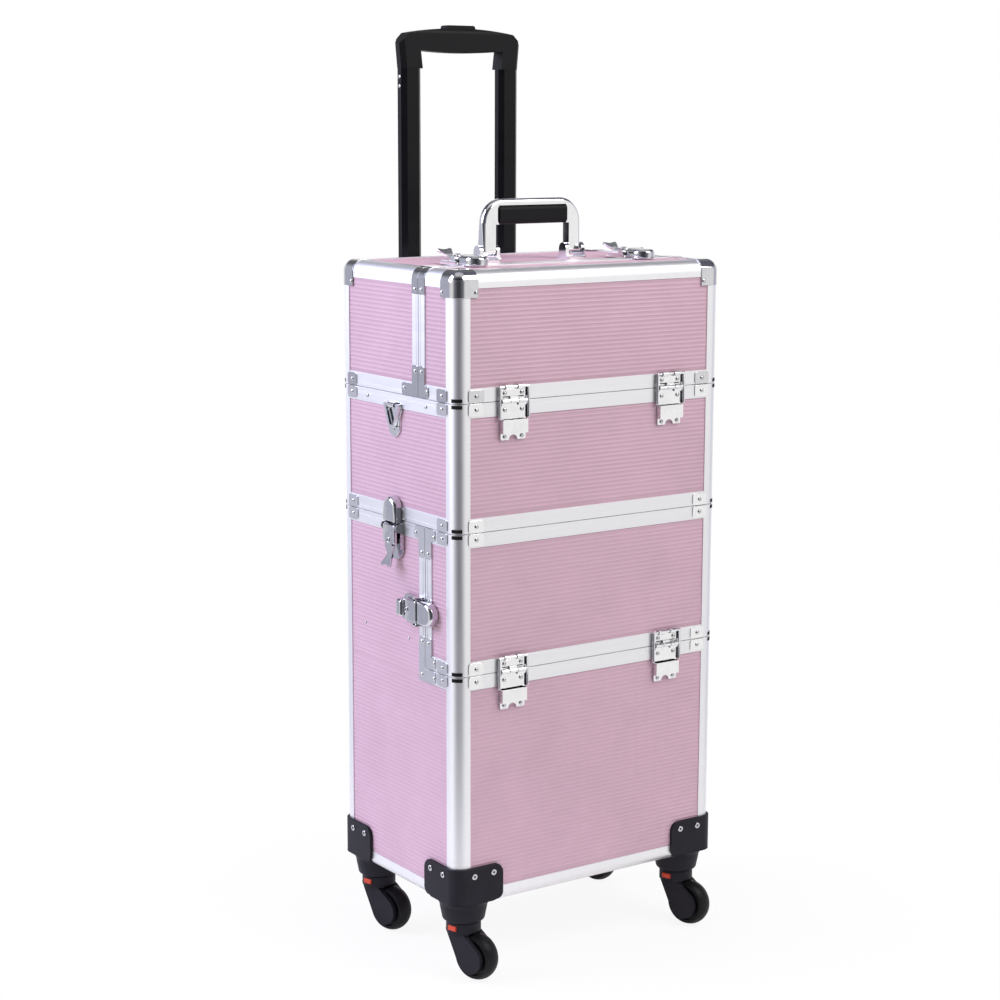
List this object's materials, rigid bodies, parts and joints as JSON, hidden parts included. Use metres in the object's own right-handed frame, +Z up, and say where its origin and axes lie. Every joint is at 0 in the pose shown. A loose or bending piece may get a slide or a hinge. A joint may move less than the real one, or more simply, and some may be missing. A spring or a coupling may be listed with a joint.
{
  "type": "rolling makeup case",
  "caption": "Upright rolling makeup case with a lift-off split-lid top, a drop-front lower case, swivel casters and a telescopic trolley handle.",
  "frame": {"origin": "on the floor, under the middle of the case", "axes": "+Z up, -Y towards the front face with the stay hinges, +X to the right seen from the front"},
  "size_m": [0.3698, 0.2856, 0.9935],
  "materials": {
    "board": "board faced with ribbed dusty-pink laminate",
    "profile": "satin extrusion",
    "plated": "plated steel, polished",
    "black_plastic": "moulded, matte",
    "black_tube": "black coated tube",
    "wheel": "moulded tread",
    "tab": "moulded, gloss",
    "tray": "moulded, matte"
  },
  "bodies": {
    "lower_case": {"lower_panels": "board", "lower_frame": "profile", "lower_side_plates": "plated", "caster_brackets": "black_plastic", "trolley_outer_tubes": "black_tube", "trolley_brackets": "black_plastic", "door_hinge_lower_leaves": "plated", "side_clasp_bases": "plated"},
    "door": {"door_panels": "board", "door_frame": "profile", "door_side_plates": "plated", "door_hinge_upper_leaves": "plated"},
    "door_stays": {"door_stays": "plated"},
    "upper_box": {"upper_panels": "board", "upper_frame": "profile", "upper_side_plates": "plated", "upper_hinge_leaves": "plated", "strap_ring_plates": "plated", "tray_brackets": "tray"},
    "strap_ring_left": {"strap_ring_left": "plated"},
    "strap_ring_right": {"strap_ring_right": "plated"},
    "front_lid": {"front_lid_panels": "board", "front_lid_frame": "profile", "front_lid_corners": "plated", "front_lid_hinge_leaves": "plated", "top_clasp_keepers": "plated"},
    "lid_stays": {"lid_stays": "plated"},
    "rear_lid": {"rear_lid_panels": "board", "rear_lid_frame": "profile", "rear_lid_corners": "plated", "rear_lid_hinge_leaves": "plated", "top_clasp_bases": "plated", "handle_feet": "plated"},
    "carry_handle": {"handle_bail": "plated", "handle_grip": "black_plastic"},
    "trolley_middle": {"trolley_middle_tubes": "black_tube"},
    "trolley_inner": {"trolley_inner_tubes": "black_tube", "trolley_grip": "black_plastic"},
    "trolley_button": {"trolley_button": "black_plastic"},
    "front_tray": {"front_tray": "tray"},
    "tray_arms": {"tray_arms": "tray"},
    "top_lever_left": {"top_lever_left": "plated"},
    "top_lever_right": {"top_lever_right": "plated"},
    "case_lever_left": {"case_lever_left": "plated"},
    "case_lever_right": {"case_lever_right": "plated"},
    "door_lever_left": {"door_lever_left": "plated"},
    "door_lever_right": {"door_lever_right": "plated"},
    "fork_front_left": {"fork_front_left": "black_plastic"},
    "wheel_front_left": {"wheel_front_left": "wheel"},
    "tab_front_left": {"tab_front_left": "tab"},
    "fork_front_right": {"fork_front_right": "black_plastic"},
    "wheel_front_right": {"wheel_front_right": "wheel"},
    "tab_front_right": {"tab_front_right": "tab"},
    "fork_rear_left": {"fork_rear_left": "black_plastic"},
    "wheel_rear_left": {"wheel_rear_left": "wheel"},
    "tab_rear_left": {"tab_rear_left": "tab"},
    "fork_rear_right": {"fork_rear_right": "black_plastic"},
    "wheel_rear_right": {"wheel_rear_right": "wheel"},
    "tab_rear_right": {"tab_rear_right": "tab"}
  },
  "joints": [
    {"name": "upper_case_lift", "type": "slide", "parent": "lower_case", "child": "upper_box", "axis": [0, 0, 1], "range_m": [0, 0.3]},
    {"name": "door_hinge", "type": "hinge", "parent": "lower_case", "child": "door", "pos_m": [0, -0.1155, 0.3315], "axis": [1, 0, 0], "range_deg": [0, 95]},
    {"name": "door_stay_hinge", "type": "hinge", "parent": "door", "child": "door_stays", "pos_m": [0, -0.1155, 0.346], "axis": [1, 0, 0], "range_deg": [-86, 0]},
    {"name": "front_lid_hinge", "type": "hinge", "parent": "upper_box", "child": "front_lid", "pos_m": [0, -0.1155, 0.6125], "axis": [1, 0, 0], "range_deg": [0, 95]},
    {"name": "lid_stay_hinge", "type": "hinge", "parent": "front_lid", "child": "lid_stays", "pos_m": [0, -0.1155, 0.627], "axis": [1, 0, 0], "range_deg": [-86, 0]},
    {"name": "tray_pivot", "type": "hinge", "parent": "front_lid", "child": "front_tray", "pos_m": [0, -0.0855, 0.6875], "axis": [1, 0, 0], "range_deg": [-95, 0]},
    {"name": "tray_arm_pivot", "type": "hinge", "parent": "upper_box", "child": "tray_arms", "pos_m": [0, -0.0975, 0.6245], "axis": [1, 0, 0], "range_deg": [0, 95]},
    {"name": "rear_lid_hinge", "type": "hinge", "parent": "upper_box", "child": "rear_lid", "pos_m": [0, 0.1155, 0.6125], "axis": [-1, 0, 0], "range_deg": [0, 7]},
    {"name": "carry_handle_pivot", "type": "hinge", "parent": "rear_lid", "child": "carry_handle", "pos_m": [0, 0.002, 0.755], "axis": [1, 0, 0], "range_deg": [-85, 85]},
    {"name": "strap_ring_left_swing", "type": "hinge", "parent": "upper_box", "child": "strap_ring_left", "pos_m": [-0.1732, 0.003, 0.6005], "axis": [0, 1, 0], "range_deg": [0, 165]},
    {"name": "top_lever_left_pivot", "type": "hinge", "parent": "rear_lid", "child": "top_lever_left", "pos_m": [-0.108, -0.036, 0.751], "axis": [1, 0, 0], "range_deg": [0, 100]},
    {"name": "case_lever_left_pivot", "type": "hinge", "parent": "lower_case", "child": "case_lever_left", "pos_m": [-0.176, 0.001, 0.472], "axis": [0, 1, 0], "range_deg": [0, 100]},
    {"name": "door_lever_left_pivot", "type": "hinge", "parent": "lower_case", "child": "door_lever_left", "pos_m": [-0.176, -0.0475, 0.3905], "axis": [0, 0, 1], "range_deg": [0, 100]},
    {"name": "strap_ring_right_swing", "type": "hinge", "parent": "upper_box", "child": "strap_ring_right", "pos_m": [0.1732, 0.003, 0.6005], "axis": [0, -1, 0], "range_deg": [0, 165]},
    {"name": "top_lever_right_pivot", "type": "hinge", "parent": "rear_lid", "child": "top_lever_right", "pos_m": [0.108, -0.036, 0.751], "axis": [1, 0, 0], "range_deg": [0, 100]},
    {"name": "case_lever_right_pivot", "type": "hinge", "parent": "lower_case", "child": "case_lever_right", "pos_m": [0.176, 0.001, 0.472], "axis": [0, -1, 0], "range_deg": [0, 100]},
    {"name": "door_lever_right_pivot", "type": "hinge", "parent": "lower_case", "child": "door_lever_right", "pos_m": [0.176, -0.0475, 0.3905], "axis": [0, 0, -1], "range_deg": [0, 100]},
    {"name": "trolley_middle_slide", "type": "slide", "parent": "lower_case", "child": "trolley_middle", "axis": [0, 0, 1], "range_m": [-0.26, 0]},
    {"name": "trolley_inner_slide", "type": "slide", "parent": "trolley_middle", "child": "trolley_inner", "axis": [0, 0, 1], "range_m": [-0.2, 0]},
    {"name": "trolley_button_press", "type": "slide", "parent": "trolley_inner", "child": "trolley_button", "axis": [0, 0, -1], "range_m": [0, 0.002], "stiffness_N_per_m": 600},
    {"name": "swivel_front_left", "type": "hinge", "parent": "lower_case", "child": "fork_front_left", "pos_m": [-0.1435, -0.086, 0.063], "axis": [0, 0, 1], "continuous": true},
    {"name": "roll_front_left", "type": "hinge", "parent": "fork_front_left", "child": "wheel_front_left", "pos_m": [-0.1384, -0.10378, 0.025], "axis": [0.9613, 0.2756, 0], "continuous": true},
    {"name": "lock_tab_front_left", "type": "slide", "parent": "fork_front_left", "child": "tab_front_left", "axis": [0.9613, 0.2756, 0], "range_m": [0, 0.002], "stiffness_N_per_m": 500},
    {"name": "swivel_front_right", "type": "hinge", "parent": "lower_case", "child": "fork_front_right", "pos_m": [0.1435, -0.086, 0.063], "axis": [0, 0, 1], "continuous": true},
    {"name": "roll_front_right", "type": "hinge", "parent": "fork_front_right", "child": "wheel_front_right", "pos_m": [0.1486, -0.10378, 0.025], "axis": [0.9613, 0.2756, 0], "continuous": true},
    {"name": "lock_tab_front_right", "type": "slide", "parent": "fork_front_right", "child": "tab_front_right", "axis": [0.9613, 0.2756, 0], "range_m": [0, 0.002], "stiffness_N_per_m": 500},
    {"name": "swivel_rear_left", "type": "hinge", "parent": "lower_case", "child": "fork_rear_left", "pos_m": [-0.1435, 0.086, 0.063], "axis": [0, 0, 1], "continuous": true},
    {"name": "roll_rear_left", "type": "hinge", "parent": "fork_rear_left", "child": "wheel_rear_left", "pos_m": [-0.1384, 0.06822, 0.025], "axis": [0.9613, 0.2756, 0], "continuous": true},
    {"name": "lock_tab_rear_left", "type": "slide", "parent": "fork_rear_left", "child": "tab_rear_left", "axis": [0.9613, 0.2756, 0], "range_m": [0, 0.002], "stiffness_N_per_m": 500},
    {"name": "swivel_rear_right", "type": "hinge", "parent": "lower_case", "child": "fork_rear_right", "pos_m": [0.1435, 0.086, 0.063], "axis": [0, 0, 1], "continuous": true},
    {"name": "roll_rear_right", "type": "hinge", "parent": "fork_rear_right", "child": "wheel_rear_right", "pos_m": [0.1486, 0.06822, 0.025], "axis": [0.9613, 0.2756, 0], "continuous": true},
    {"name": "lock_tab_rear_right", "type": "slide", "parent": "fork_rear_right", "child": "tab_rear_right", "axis": [0.9613, 0.2756, 0], "range_m": [0, 0.002], "stiffness_N_per_m": 500}
  ],
  "couplings": [
    {"joint": "door_hinge", "follows": "upper_case_lift", "rad_per_m": 5.52},
    {"joint": "door_stay_hinge", "follows": "upper_case_lift", "rad_per_m": -4.968},
    {"joint": "lid_stay_hinge", "follows": "front_lid_hinge", "ratio": -0.9},
    {"joint": "tray_pivot", "follows": "front_lid_hinge", "ratio": -1},
    {"joint": "tray_arm_pivot", "follows": "front_lid_hinge", "ratio": 1}
  ]
}
